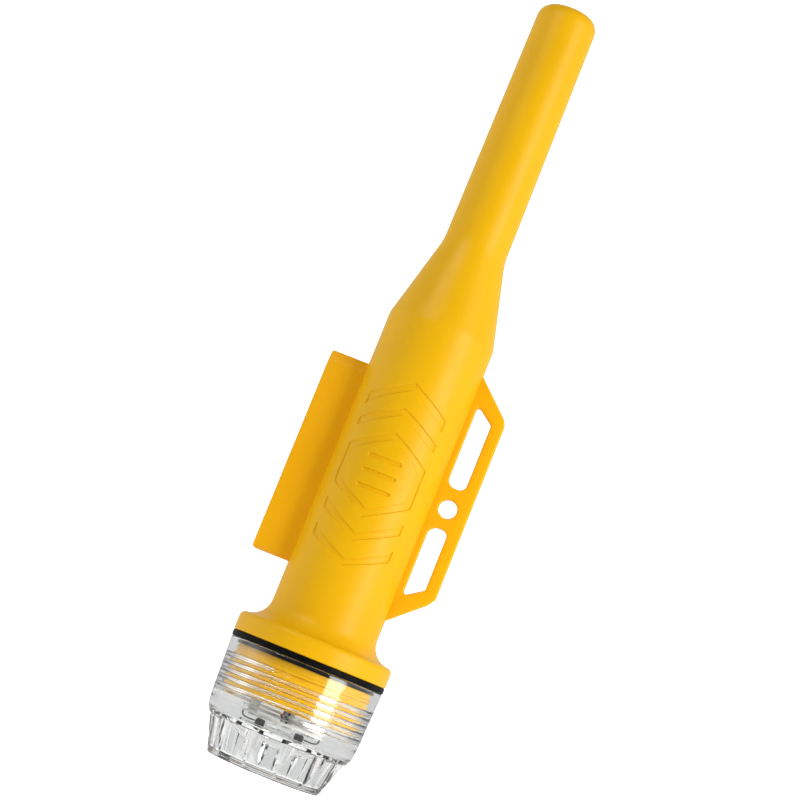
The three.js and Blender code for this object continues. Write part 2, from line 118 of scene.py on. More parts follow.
class Look:
    """A node material being wired up."""

    def __init__(self, name):
        self.material = bpy.data.materials.new(name)
        self.material.use_nodes = True
        self.nodes = self.material.node_tree.nodes
        self.links = self.material.node_tree.links
        self.shader = self.nodes["Principled BSDF"]
        self.output = self.nodes["Material Output"]
        self.place = self.nodes.new("ShaderNodeTexCoord").outputs["Object"]

    def set(self, **values):
        for key, value in values.items():
            self.shader.inputs[key.replace("_", " ")].default_value = value

    def to(self, source, socket):
        self.links.new(source, self.shader.inputs[socket])

    def noise(self, scale, detail, stretch=(1, 1, 1)):
        mapping = self.nodes.new("ShaderNodeMapping")
        mapping.inputs["Scale"].default_value = stretch
        self.links.new(self.place, mapping.inputs["Vector"])
        node = self.nodes.new("ShaderNodeTexNoise")
        node.inputs["Scale"].default_value = scale
        node.inputs["Detail"].default_value = detail
        self.links.new(mapping.outputs["Vector"], node.inputs["Vector"])
        return node.outputs["Fac"]

    def mottle(self, socket, low, high, scale, detail, stretch=(1, 1, 1), spread=0.2):
        """Drives a socket between two colours by a noise. A smaller spread makes harder patches."""
        node = self.nodes.new("ShaderNodeValToRGB")
        stops = ((0.5 - spread, low), (0.5 + spread, high))
        for element, (at, color) in zip(node.color_ramp.elements, stops):
            element.position = at
            element.color = (*color, 1)
        self.links.new(self.noise(scale, detail, stretch), node.inputs["Fac"])
        self.to(node.outputs["Color"], socket)

    def bump(self, *layers):
        """Each layer is (height, strength, distance in metres)."""
        last = None
        for height, strength, distance in layers:
            node = self.nodes.new("ShaderNodeBump")
            node.inputs["Strength"].default_value = strength
            node.inputs["Distance"].default_value = distance
            self.links.new(height, node.inputs["Height"])
            if last:
                self.links.new(last, node.inputs["Normal"])
            last = node.outputs["Normal"]
        self.to(last, "Normal")


def grey(v):
    return (v, v, v)


def plastic(name, dark, light, rough, grain=900.0, depth=0.00003, shine=0.5):
    """Moulded plastic: slow colour drift, uneven gloss and a fine tool-mark grain."""
    look = Look(name)
    look.mottle("Base Color", dark, light, 14, 4)
    look.mottle("Roughness", grey(rough[0]), grey(rough[1]), 60, 5)
    look.bump((look.noise(45, 3), 0.25, 0.00012), (look.noise(grain, 2), 0.3, depth))
    look.set(Specular_IOR_Level=shine, IOR=1.5)
    return look.material


def rubber(name):
    """Black rubber with a dusty, patchy surface and almost no gloss."""
    look = Look(name)
    look.mottle("Base Color", grey(0.002), grey(0.0044), 120, 4)
    look.mottle("Roughness", grey(0.42), grey(0.6), 200, 3)
    look.set(Specular_IOR_Level=0.07)
    look.bump((look.noise(1500, 2), 0.35, 0.00003))
    return look.material


def metal(name, dark, light):
    """Drawn metal, with fine marks that run across Z."""
    look = Look(name)
    stretch = (1, 1, 12)
    look.mottle("Base Color", dark, light, 500, 3, stretch)
    look.mottle("Roughness", grey(0.22), grey(0.38), 700, 4, stretch)
    look.bump((look.noise(900, 2, stretch), 0.15, 0.00002))
    look.set(Metallic=1.0)
    return look.material


def clear(name, ior):
    """Clear plastic or glass that lamps shine through, with faint flow marks from moulding."""
    look = Look(name)
    look.set(Base_Color=(0.965, 0.975, 0.975, 1), Transmission_Weight=1.0, IOR=ior, Roughness=0.012)
    look.bump((look.noise(55, 2, (1, 1, 0.4)), 0.05, 0.0003))
    passing = look.nodes.new("ShaderNodeBsdfTransparent")
    passing.inputs["Color"].default_value = (0.97, 0.98, 0.98, 1)
    path = look.nodes.new("ShaderNodeLightPath")
    mix = look.nodes.new("ShaderNodeMixShader")
    look.links.new(path.outputs["Is Shadow Ray"], mix.inputs["Fac"])
    look.links.new(look.shader.outputs["BSDF"], mix.inputs[1])
    look.links.new(passing.outputs["BSDF"], mix.inputs[2])
    look.links.new(mix.outputs["Shader"], look.output.inputs["Surface"])
    return look.material


def board(name, dark, light):
    """Solder mask over copper: tracks lift it a little, and it is glossy."""
    look = Look(name)
    look.mottle("Base Color", dark, light, 90, 4, spread=0.15)
    brick = look.nodes.new("ShaderNodeTexBrick")
    brick.inputs["Scale"].default_value = 160
    brick.inputs["Mortar Size"].default_value = 0.03
    look.links.new(look.place, brick.inputs["Vector"])
    look.bump((brick.outputs["Fac"], 0.2, 0.00004))
    look.set(Roughness=0.3)
    return look.material


YELLOW = plastic(
    "yellow_shell", (0.80, 0.43, 0.002), (0.85, 0.465, 0.003), (0.32, 0.4), shine=0.17)
# The same yellow plastic as the shell, made brighter and more orange: painted light that lifts the
# rope plate and the pod, which the lamps leave in shade.
YELLOW_BRIGHTENED_FOR_SHADE = plastic(
    "yellow_side_mouldings_painted_bright", (0.93, 0.445, 0.002), (0.97, 0.47, 0.003), (0.34, 0.42), shine=0.17)
CLEAR_CAP = clear("clear_polycarbonate", 1.5)
CLEAR_GLASS = clear("clear_glass", 1.47)
RUBBER = rubber("black_rubber")
WHITE = plastic("white_plastic", (0.74, 0.74, 0.71), (0.82, 0.82, 0.79), (0.4, 0.5))
BLACK = plastic("black_plastic", grey(0.012), grey(0.022), (0.4, 0.55))
STEEL = metal("stainless_steel", grey(0.5), grey(0.62))
COPPER = metal("enamelled_copper", (0.5, 0.2, 0.08), (0.68, 0.3, 0.13))
BOARD_WHITE = board("white_board", (0.72, 0.72, 0.68), (0.82, 0.82, 0.78))
BOARD_GREEN = board("green_board", (0.008, 0.07, 0.03), (0.015, 0.12, 0.05))
CERAMIC = plastic("patch_ceramic", (0.55, 0.46, 0.33), (0.66, 0.57, 0.43), (0.5, 0.65), 1600)
FOAM = plastic("closed_cell_foam", grey(0.03), grey(0.055), (0.85, 0.95), 2400, 0.0002)
CELL_WRAP = plastic("cell_sleeve", (0.02, 0.18, 0.25), (0.03, 0.24, 0.32), (0.25, 0.35))
RED = plastic("red_wire", (0.4, 0.01, 0.01), (0.5, 0.015, 0.015), (0.35, 0.5))
BLACK_WIRE = plastic("black_wire", grey(0.01), grey(0.02), (0.35, 0.5))
PHOSPHOR = plastic("led_phosphor", (0.78, 0.66, 0.2), (0.85, 0.74, 0.28), (0.2, 0.3))

# ---- Mesh helpers --------------------------------------------------------------------------

# Kinds of face. The last two take a piece's second and third material.
PLAIN, ON_ROUND, FLAT_WALL, SECOND, THIRD = range(5)
MATERIAL_INDEX = {SECOND: 1, THIRD: 2}
# Faces of a box whose corners are listed with x changing slowest and z fastest.
BOX_FACES = [(0, 1, 3, 2), (4, 6, 7, 5), (0, 4, 5, 1), (2, 3, 7, 6), (0, 2, 6, 4), (1, 5, 7, 3)]
LARGEST_CUT = 0.49  # the part of a side that one rounded corner may take


def between(low, high, step, steps):
    return low + (high - low) * step / steps


def arc(x, y, radius, degrees):
    return [(x + radius * cos(radians(a)), y + radius * sin(radians(a))) for a in degrees]


def rounded(corners, closed=False, step=7.0):
    """Corners are (x, y, radius). Each becomes an arc that is tangent to both of its sides."""
    out = []
    count = len(corners)
    for i, (x, y, radius) in enumerate(corners):
        if radius <= 0 or (not closed and i in (0, count - 1)):
            out.append((x, y))
            continue
        here = Vector((x, y))
        before = Vector(corners[i - 1][:2]) - here
        after = Vector(corners[(i + 1) % count][:2]) - here
        half = before.angle(after) / 2
        cut = min(radius / tan(half), LARGEST_CUT * before.length, LARGEST_CUT * after.length)
        radius = cut * tan(half)
        u, v = before.normalized(), after.normalized()
        centre = here + (u + v).normalized() * (radius / sin(half))
        start, end = here + u * cut - centre, here + v * cut - centre
        first = atan2(start.y, start.x)
        sweep = (atan2(end.y, end.x) - first + pi) % (2 * pi) - pi
        steps = max(2, ceil(abs(sweep) / radians(step)))
        for k in range(steps + 1):
            a = first + sweep * k / steps
            out.append((centre.x + radius * cos(a), centre.y + radius * sin(a)))
    return out


def around(r, angle, z):
    """A point at that angle from the front, turning towards +X."""
    return (r * sin(angle), -r * cos(angle), z)


class Shell:
    """Vertices and faces in mm, gathered from several surfaces of one piece."""

    def __init__(self):
        self.verts, self.faces, self.kind = [], [], []

    def add(self, verts, faces, kind=PLAIN):
        base = len(self.verts)
        self.verts += [tuple(v) for v in verts]
        self.add_faces(base, faces, kind)
        return base

    def add_faces(self, base, faces, kind):
        """Adds faces whose vertices are already here, counted from base."""
        self.faces += [tuple(i + base for i in f) for f in faces]
        self.kind += [kind] * len(faces)

    def lathe(self, profile, columns=COLUMNS, skip=None):
        """A profile of (r, z) turned about Z. It closes on itself, unless it starts and ends on
        the axis. The stretch that follows point number skip is left open."""
        open_ended = profile[0][0] == 0 and profile[-1][0] == 0
        rows, verts = [], []
        for r, z in profile:
            if r == 0:
                rows.append([len(verts)] * columns)
                verts.append((0, 0, z))
                continue
            rows.append(list(range(len(verts), len(verts) + columns)))
            verts += [around(r, -pi + 2 * pi * j / columns, z) for j in range(columns)]
        faces = []
        last = len(profile) - 1 if open_ended else len(profile)
        for k in range(last):
            if k == skip:
                continue
            low, high = rows[k], rows[(k + 1) % len(profile)]
            for j in range(columns):
                n = (j + 1) % columns
                faces.append(tuple(dict.fromkeys([low[j], low[n], high[n], high[j]])))
        self.add(verts, [f for f in faces if len(f) > 2])

    def weld(self, grid=0.001):
        """Joins vertices in one place, so that separately made stretches become one surface."""
        keys, new, remap = {}, [], []
        for v in self.verts:
            key = tuple(round(c / grid) for c in v)
            if key not in keys:
                keys[key] = len(new)
                new.append(v)
            remap.append(keys[key])
        faces, kinds = [], []
        for face, kind in zip(self.faces, self.kind):
            face = tuple(dict.fromkeys(remap[i] for i in face))
            if len(face) > 2:
                faces.append(face)
                kinds.append(kind)
        self.verts, self.faces, self.kind = new, faces, kinds

    def piece(self, name, materials, body, node, sharp=32):
        """Makes the object, which rides on a body and stands in for a CAD node."""
        mesh = bpy.data.meshes.new(name)
        mesh.from_pydata([Vector(v) * MM for v in self.verts], [], self.faces)
        mesh.shade_smooth()
        mesh.set_sharp_from_angle(angle=radians(sharp))
        for material in materials:
            mesh.materials.append(material)
        indices = [MATERIAL_INDEX.get(k, 0) for k in self.kind]
        mesh.polygons.foreach_set("material_index", indices)
        if ON_ROUND in self.kind:
            self.true_normals(mesh)
        made = bpy.data.objects.new(name, mesh)
        bpy.context.scene.collection.objects.link(made)
        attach(made, body)
        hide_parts(node)

    def true_normals(self, mesh):
        """Makes the panel's faces shade as part of the round body, and its walls as flat."""
        normals = [tuple(n.vector) for n in mesh.corner_normals]
        for face, kind in zip(mesh.polygons, self.kind):
            for corner in face.loop_indices:
                if kind == ON_ROUND:
                    co = mesh.vertices[mesh.loops[corner].vertex_index].co
                    normals[corner] = tuple(Vector((co.x, co.y, 0)).normalized())
                elif kind == FLAT_WALL:
                    normals[corner] = tuple(face.normal)
        mesh.normals_split_custom_set(normals)


def slab(shell, outline, holes, thick, edge, place, kind):
    """An outline with holes, thickened about its own plane, with rounded edges.

    place turns (u, v, w) into a point, where w runs through the thickness.
    """
    data = bpy.data.curves.new("slab", "CURVE")
    data.dimensions = "2D"
    data.fill_mode = "BOTH"
    data.extrude = (thick / 2 - edge) * MM
    data.bevel_depth = edge * MM
    data.bevel_resolution = 3
    data.offset = -edge * MM
    for ring in [outline, *holes]:
        spline = data.splines.new("POLY")
        spline.points.add(len(ring) - 1)
        spline.use_cyclic_u = True
        for point, (u, v) in zip(spline.points, ring):
            point.co = (u * MM, v * MM, 0, 1)
    carrier = bpy.data.objects.new("slab", data)
    bpy.context.scene.collection.objects.link(carrier)
    graph = bpy.context.evaluated_depsgraph_get()
    mesh = bpy.data.meshes.new_from_object(carrier.evaluated_get(graph))
    bpy.data.objects.remove(carrier)
    bm = bmesh.new()
    bm.from_mesh(mesh)
    bmesh.ops.remove_doubles(bm, verts=bm.verts, dist=1e-6)
    bmesh.ops.recalc_face_normals(bm, faces=bm.faces)
    bm.verts.index_update()
    verts = [place(*(v.co / MM)) for v in bm.verts]
    faces = [tuple(v.index for v in f.verts) for f in bm.faces]
    bm.free()
    origin = Vector(place(0, 0, 0))
    u_axis, v_axis, w_axis = (Vector(place(*p)) - origin for p in ((1, 0, 0), (0, 1, 0), (0, 0, 1)))
    if u_axis.cross(v_axis).dot(w_axis) < 0:
        faces = [tuple(reversed(f)) for f in faces]
    shell.add(verts, faces, kind)


def run_out(turn, turns):
    """How much of its full height a ridge has at this turn. It is negative past the ends."""
    return min(1, turn / RUN_OUT, (turns - turn) / RUN_OUT)


def sweep_ridge(shell, start, turns, section):
    """A helical ridge. section is (r, dz) from root to crest to root; the ends fade into the root."""
    least = 0.02
    steps = round(turns * COLUMNS)
    root = section[0][0]
    verts, faces = [], []
    for i in range(steps + 1):
        turn = i / COLUMNS
        fade = least + (1 - least) * max(0, run_out(turn, turns)) ** 0.5
        for r, dz in section:
            z = start + turn * PITCH + dz
            verts.append(around(root + (r - root) * fade, 2 * pi * turn, z))
    n = len(section)
    for i in range(steps):
        for k in range(n):
            a, b = i * n + k, i * n + (k + 1) % n
            faces.append((a, a + n, b + n, b))
    faces.append(tuple(range(n)))
    faces.append(tuple(reversed(range(steps * n, steps * n + n))))
    shell.add(verts, faces)


# ---- Chevron panel -------------------------------------------------------------------------

PANEL_HALF = 27.6  # half the panel's width, measured round the body
TAIL_IN = 25.2  # the inner edge of a chevron's tails
RECESS_WALL = 0.6  # width of a recess's sloping wall
RECESS_DEPTH = 0.75
# Each chevron is (outer apex, inner apex, shoulder, tail's end), all heights.
CHEVRONS = [
    (249.0, 243.5, 235.0, 226.7), (232.6, 227.4, 219.5, 214.4),
    (147.2, 152.4, 160.9, 168.7), (131.5, 136.1, 143.5, 152.2),
]
# The three plain bars in the hexagon.
BAR_HEIGHTS = (199.5, 190.0, 180.5)
BAR_HALF, BAR_THICK, BAR_WALL = 11, 1.2, 0.45


def inset(ring, distance):
    """The ring moved inwards by a distance. The ring runs anticlockwise."""
    least = 0.3  # keeps a sharp corner from moving too far
    out = []
    for i, p in enumerate(ring):
        a = (Vector(p) - Vector(ring[i - 1])).normalized()
        b = (Vector(ring[(i + 1) % len(ring)]) - Vector(p)).normalized()
        na, nb = Vector((-a.y, a.x)), Vector((-b.y, b.x))
        mean = (na + nb).normalized()
        move = mean * (distance / max(least, mean.dot(na)))
        out.append((p[0] + move.x, p[1] + move.y))
    return out


def anticlockwise(ring):
    area = sum(ring[i - 1][0] * p[1] - p[0] * ring[i - 1][1] for i, p in enumerate(ring))
    return ring if area > 0 else ring[::-1]


def dense(ring, longest=1.4):
    """The ring with points added, so that no side is longer than this."""
    out = []
    for i, p in enumerate(ring):
        q = ring[(i + 1) % len(ring)]
        steps = max(1, ceil(dist(p, q) / longest))
        out += [(between(p[0], q[0], k, steps), between(p[1], q[1], k, steps)) for k in range(steps)]
    return out


def ring_of(corners, step=15):
    return dense(anticlockwise(rounded(corners, closed=True, step=step)))


def inside(point, ring):
    u, v = point
    hit = False
    for i, (x1, y1) in enumerate(ring):
        x0, y0 = ring[i - 1]
        if (y0 > v) != (y1 > v) and u < (x1 - x0) * (v - y0) / (y1 - y0) + x0:
            hit = not hit
    return hit


def chevron(apex_out, apex_in, shoulder, tail):
    """Arms run from the apex to the panel's sides, and short tails follow the sides."""
    slope = (shoulder - apex_out) / PANEL_HALF
    lean = 0.9 if tail > shoulder else -0.9
    right = [
        (PANEL_HALF, shoulder, 1.5), (PANEL_HALF, tail, 0.5),
        (TAIL_IN, apex_in + slope * TAIL_IN + lean, 0.7),
    ]
    left = [(-u, v, r) for u, v, r in reversed(right)]
    return ring_of([(0, apex_out, 1.5), *right, (0, apex_in, 1.2), *left])


def hexagon(half, heights, apex_radius, side_radius):
    """A hexagon that stands on a point. heights are its four levels, from the top down."""
    top, high, low, bottom = heights
    return ring_of([
        (0, top, apex_radius), (half, high, side_radius), (half, low, side_radius),
        (0, bottom, apex_radius), (-half, low, side_radius), (-half, high, side_radius),
    ])


def panel_shapes():
    """The recesses: (outline, floor's ring, an island's outline or None, floor's ring round it)."""
    shapes = []
    for heights in CHEVRONS:
        outline = chevron(*heights)
        shapes.append((outline, inset(outline, RECESS_WALL), None, None))
    outer = hexagon(PANEL_HALF, (217.2, 202.6, 177.7, 162.3), 1.5, 2)
    inner = hexagon(21.8, (211.6, 200.2, 180.1, 168.4), 1.2, 1.5)
    shapes.append((outer, inset(outer, RECESS_WALL), inner, inset(inner, -RECESS_WALL)))
    for height in BAR_HEIGHTS:
        low, high = height - BAR_THICK, height + BAR_THICK
        corners = [(-BAR_HALF, low), (BAR_HALF, low), (BAR_HALF, high), (-BAR_HALF, high)]
        bar = ring_of([(u, v, 1.1) for u, v in corners], step=30)
        shapes.append((bar, inset(bar, BAR_WALL), None, None))
    return shapes


def in_recess(point, shape):
    outline, _, island, _ = shape
    return inside(point, outline) and (island is None or not inside(point, island))


def on_floor(point, shape):
    _, floor, _, island_floor = shape
    return inside(point, floor) and (island_floor is None or not inside(point, island_floor))


def add_panel(shell, low, high):
    """The round wall between two heights: unrolled, cut along the recesses, and rolled up again."""
    row_count, clearance = 28, 0.8
    shapes = panel_shapes()
    points, edges = [], []
    for shape in shapes:
        for ring in shape:
            if ring is None:
                continue
            base = len(points)
            points += [Vector(p) for p in ring]
            edges += [(base + i, base + (i + 1) % len(ring)) for i in range(len(ring))]
    rims = np.array([tuple(p) for p in points])
    column = 2 * pi * BODY_R / COLUMNS
    for k in range(row_count + 1):
        v = between(low, high, k, row_count)
        for j in range(COLUMNS + 1):
            u = (j - COLUMNS / 2) * column
            border = k in (0, row_count) or j in (0, COLUMNS)
            if border or np.min(np.hypot(rims[:, 0] - u, rims[:, 1] - v)) > clearance:
                points.append(Vector((u, v)))
    flat, _, triangles, *_ = delaunay_2d_cdt(points, edges, [], 0, 1e-5)
    spots = [tuple(p) for p in flat]

    def key(point):
        return (round(point[0], 3), round(point[1], 3))

    floor_rims = {key(p) for shape in shapes for ring in (shape[1], shape[3]) for p in ring or ()}
    verts = []
    for p in spots:
        deep = key(p) in floor_rims or any(on_floor(p, shape) for shape in shapes)
        verts.append(around(BODY_R - (RECESS_DEPTH if deep else 0), p[0] / BODY_R, p[1]))
    round_faces, walls = [], []
    for triangle in triangles:
        centre = tuple(sum(spots[i][axis] for i in triangle) / 3 for axis in (0, 1))
        wall = any(in_recess(centre, shape) and not on_floor(centre, shape) for shape in shapes)
        (walls if wall else round_faces).append(tuple(triangle))
    base = shell.add(verts, round_faces, ON_ROUND)
    shell.add_faces(base, walls, FLAT_WALL)


# ---- Float body ----------------------------------------------------------------------------


def slot_ring(square, slope_left, slope_right):
    """A window in the rope plate: square at one end, sloping at the other, with soft corners."""
    left, right = 37.8, 49.5
    corners = [
        (left, slope_left, 1.6), (left, square, 5.6), (right, square, 4.2), (right, slope_right, 1.8),
    ]
    return rounded(corners, closed=True, step=10)


def add_rope_plate(shell):
    """The plate lies in the XZ plane. It has a rope hole between two windows."""
    thick, edge = 7.0, 1.3
    hole_x, hole_z, hole_r = 44, 188.2, 5.7
    wall = BODY_R - 0.5
    outline = rounded([
        (MOULDING_ROOT, 106, 0), (wall, 111.5, 0), (53.9, 129.6, 9), (PLATE_OUT, 134.5, 6),
        (PLATE_OUT, 250, 9), (wall, 272, 0), (MOULDING_ROOT, 278, 0),
    ], closed=True, step=8)
    hole = arc(hole_x, hole_z, hole_r, [7.5 * k for k in range(48)])
    windows = [slot_ring(201.5, 254, 245.2), slot_ring(175.5, 129.8, 137.6), hole]
    slab(shell, outline, windows, thick, edge, lambda u, v, w: (u, w, v), SECOND)


def add_pod(shell):
    """The pod's section lies in the YZ plane, and its length runs along X."""
    half, top_half, edge = 8, 5, 1.7
    low, slope, high = 123.5, 246.2, 253.1
    section = rounded([
        (-half, low, 3.0), (half, low, 3.0), (half, slope, 0.8), (top_half, high, 1.4),
        (-top_half, high, 1.4), (-half, slope, 0.8),
    ], closed=True, step=12)
    middle, length = -(POD_OUT + MOULDING_ROOT) / 2, POD_OUT - MOULDING_ROOT
    slab(shell, section, [], length, edge, lambda u, v, w: (middle + w, u, v), SECOND)


def make_float_body():
    shell = Shell()
    panel_low, panel_high = 110.0, 278.0
    corner, corner_z = 3.4, 82.8  # the flange's upper corner
    fillet, fillet_z = 12.6, 98.8  # the curve from the flange into the body
    outside = rounded([
        (NECK_BORE_R, NECK_END, 0), (NECK_R, NECK_END, 0.9), (NECK_R, FLANGE_FACE, 0.5),
        (FLANGE_R, FLANGE_FACE, 0.9), (FLANGE_R, corner_z, 0),
    ])
    outside += arc(FLANGE_R - corner, corner_z, corner, range(10, 91, 10))
    outside += arc(BODY_R + fillet, fillet_z, fillet, range(264, 179, -6))
    outside.append((BODY_R, panel_low))
    inner = [
        (BODY_R, panel_high), (BODY_R, BODY_TOP), (BORE_R, BODY_TOP), (BORE_R, 80),
        (NECK_BORE_R, 70),
    ]
    shell.lathe(outside + inner, skip=len(outside) - 1)
    add_panel(shell, panel_low, panel_high)
    shell.weld()
    root_to_crest = [(42.2, 1.5), (42.7, 1.35), (43.5, 0.85), (43.95, 0.45)]
    section = [(r, -dz) for r, dz in root_to_crest] + root_to_crest[::-1]
    sweep_ridge(shell, *NECK_THREAD, section)
    add_rope_plate(shell)
    add_pod(shell)
    # The plate and the pod take the brightened yellow, whose extra brightness is painted light.
    shell.piece("float_body", [YELLOW, YELLOW_BRIGHTENED_FOR_SHADE], "float", "body_shell")


# ---- Antenna mast --------------------------------------------------------------------------


def mast_r(z):
    """Radius of the straight mast, which tapers a little towards its tip."""
    return TUBE_R + (TUBE_R_TOP - TUBE_R) * (z - CONE_EDGE) / (TUBE_END - CONE_EDGE)


def make_mast():
    cone = Shell()
    outside = rounded([
        (BODY_R, BODY_TOP, 0), (BODY_R, 288, 45), (mast_r(CONE_EDGE), CONE_EDGE, 60),
        (mast_r(CONE_TOP), CONE_TOP, 0),
    ], step=1.2)
    joint = (mast_r(CONE_TOP) - MAST_WALL, CONE_TOP)
    cone.lathe([*outside, joint, (17.5, CONE_EDGE), (BORE_R, 290), (BORE_R, BODY_TOP)])
    cone.piece("mast_cone", [YELLOW], "float", "antenna_cone")
    tube = Shell()
    corner, crown = 9, 1.6  # radius of the tip's corner, and how far its end is domed
    flat = TUBE_R_TOP - corner
    heights = [between(CONE_TOP, TUBE_END, k, 6) for k in range(6)]
    outside = [(mast_r(z), z) for z in heights]
    outside += arc(flat, TUBE_END, corner, range(0, 81, 8))
    outside += [(r, TIP - crown * (r / flat) ** 2) for r in (9.5, 8, 6, 4, 2)]
    inner = arc(flat, TUBE_END, corner - MAST_WALL, range(90, -1, -15))
    tube.lathe([(0, TIP - 3.2), *inner, joint, *outside, (0, TIP)])
    tube.piece("mast_tube", [YELLOW], "float", "antenna_tube")


# ---- Lens cap ------------------------------------------------------------------------------

FLUTES = 12
SECTOR = pi / FLUTES  # the angle from a flute's middle to a facet's middle
GROOVE_ROOT = 37.0  # radius at a flute's bottom
GROOVE_SLOPE = 10.9 / 12.0  # how far a flute's wall goes sideways for each mm outwards
LEAST_HALF = radians(0.12)  # half the angle of a flute where it has run out
LENS_FLOOR = 4.5  # thickness of the lens's end
LENS_LOW, LENS_HIGH = (37.02, 2.0), (43.2, 22.6)  # the fluted side, as (r, z)
SKIRT_LOW, SKIRT_HIGH = (47.15, 33.6), (48.1, 58.9)  # the rippled side
RIPPLES, RIPPLE_HEIGHT = 5.6, 0.09
THREAD_TOP, THREAD_BOTTOM = 62.6, 34.6


def groove_r(angle):
    """Radius of a flute's wall at this angle from the flute's middle."""
    return GROOVE_ROOT * GROOVE_SLOPE / (GROOVE_SLOPE * cos(angle) - sin(angle))


def groove_half(radius):
    """Half the angle that a flute takes out of a lens of this radius."""
    if radius <= GROOVE_ROOT:
        return LEAST_HALF
    low, high = 0.0, radians(12)
    for _ in range(40):
        middle = (low + high) / 2
        low, high = (middle, high) if groove_r(middle) < radius else (low, middle)
    return max(low, LEAST_HALF)


def cap_columns(radius, steps_in=4, steps_out=5):
    """Columns round the cap, with one on each edge of a flute.

    Each is (angle round the cap, angle from the nearest flute's middle, half a flute's angle).
    """
    half = groove_half(radius)
    one_side = [half * k / steps_in for k in range(steps_in)]
    one_side += [between(half, SECTOR, k, steps_out) for k in range(steps_out)]
    columns = []
    for s in range(FLUTES):
        centre = (s + 0.5) * 2 * pi / FLUTES
        columns += [(centre + d, d, half) for d in one_side]
        columns += [(centre + 2 * SECTOR - d, d, half) for d in [SECTOR, *reversed(one_side[1:])]]
    return columns


def lens_row(radius, z):
    """A row of the lens: flat facets, with a slanted groove between each two."""
    row = []
    for angle, d, half in cap_columns(radius):
        if d >= half - 1e-9:
            r = radius * cos(SECTOR - half) / cos(SECTOR - d)
        else:
            r = groove_r(d) if radius > GROOVE_ROOT else radius
        row.append(around(min(r, radius), angle, z))
    return row


def round_row(radius, z):
    return [around(radius, angle, z) for angle, *_ in cap_columns(LENS_HIGH[0])]


def thread_row(z):
    """A row of the cap's bore, with its thread standing in."""
    columns = cap_columns(LENS_HIGH[0])
    return [around(BORE_IN_CAP - female_thread(angle, z), angle, z) for angle, *_ in columns]


def female_thread(angle, z):
    """How far the thread stands in from the cap's bore at this place."""
    height, half_width = 1.4, 1.6
    start, turns = CAP_THREAD
    turn = (angle / (2 * pi)) % 1
    at = round((z - start) / PITCH - turn) + turn
    if at < 0 or at > turns:
        return 0.0
    dz = abs(z - (start + at * PITCH))
    return height * run_out(at, turns) * cos(min(dz / half_width, 1) * pi / 2) ** 2


def cap_rows():
    """Rows from the lens's end, up the outside, over the rim, and down the inside."""
    lens_steps, skirt_steps, thread_steps, fade_rows = 12, 56, 112, 5
    for radius, z in [(12, 0), (24, 0), (35.0, 0), (36.0, 0.3), (36.7, 1.0), LENS_LOW]:
        yield lens_row(radius, z)
    for k in range(1, lens_steps + 1):
        radius, z = (between(low, high, k, lens_steps) for low, high in zip(LENS_LOW, LENS_HIGH))
        yield lens_row(radius, z)
    step = (43.7, 22.7)
    yield round_row(*step)
    shoulder = [(*step, 0), (44.3, 23.2, 0.4), (46.3, 27.4, 1.5), (46.9, 32.5, 0)]
    for point in rounded(shoulder)[1:]:
        yield round_row(*point)
    for k in range(1, skirt_steps + 1):
        radius, z = (between(low, high, k, skirt_steps) for low, high in zip(SKIRT_LOW, SKIRT_HIGH))
        swell = RIPPLE_HEIGHT * min(1, k / fade_rows, (skirt_steps + 1 - k) / fade_rows)
        yield round_row(radius + swell * sin(2 * pi * RIPPLES * k / skirt_steps), z)
    rim = [
        (*SKIRT_HIGH, 0), (48.7, CAP_RIM, 0.9), (BORE_IN_CAP, CAP_RIM, 0.7),
        (BORE_IN_CAP, THREAD_TOP, 0),
    ]
    for point in rounded(rim)[1:]:
        yield round_row(*point)
    for k in range(1, thread_steps + 1):
        yield thread_row(between(THREAD_TOP, THREAD_BOTTOM, k, thread_steps))
    hollow = [
        (BORE_IN_CAP, THREAD_BOTTOM, 0), (BORE_IN_CAP, 32.4, 6), (43.9, 25.6, 1.6),
        (34.6, 23.4, 1.0), (32.6, LENS_FLOOR, 2.5), (20, LENS_FLOOR, 0), (10, LENS_FLOOR, 0),
    ]
    for point in rounded(hollow)[1:]:
        yield round_row(*point)


def make_cap():
    rows = list(cap_rows())
    columns = len(rows[0])
    verts = [(0, 0, 0)] + [v for row in rows for v in row] + [(0, 0, LENS_FLOOR)]
    faces = []
    for k in range(len(rows) - 1):
        for j in range(columns):
            n = (j + 1) % columns
            a, b = 1 + k * columns, 1 + (k + 1) * columns
            faces.append((a + j, a + n, b + n, b + j))
    last = 1 + (len(rows) - 1) * columns
    for j in range(columns):
        n = (j + 1) % columns
        faces.append((0, 1 + n, 1 + j))
        faces.append((last + j, last + n, len(verts) - 1))
    shell = Shell()
    shell.add(verts, faces)
    shell.piece("clear_lens_cap", [CLEAR_CAP], "cap", "lens_cap", sharp=50)


# ---- Seals ---------------------------------------------------------------------------------


def rubber_ring(name, body, node, inner, outer, heights, inner_edge, outer_edge):
    """A ring of rectangular section. The edges are the radii of its inner and outer corners."""
    low, high = heights
    ring = Shell()
    ring.lathe(rounded([
        (inner, low, inner_edge), (outer, low, outer_edge),
        (outer, high, outer_edge), (inner, high, inner_edge),
    ], closed=True, step=18))
    ring.piece(name, [RUBBER], body, node)


def make_seals():
    gap = 0.05
    heights = (CAP_RIM + gap, FLANGE_FACE - gap)
    rubber_ring("rubber_seal", "seal", "seal_ring", 44.9, FLANGE_R - 0.15, heights, 0.4, 0.9)
    lo, hi = box_mm("neck_o_ring")
    rubber_ring(
        "rubber_o_ring", "float", "neck_o_ring", NECK_R + 0.35, hi.y - gap, (lo.z, hi.z), 0.6, 0.85)


# ---- Switch and lamps ----------------------------------------------------------------------


def turned_x(shell, profile, columns, y, z):
    """A profile of (r, x) turned about an axis along X, which passes through y and z."""
    lathe = Shell()
    lathe.lathe(profile, columns)
    shell.add([(v[2], y - v[1], z + v[0]) for v in lathe.verts], lathe.faces)


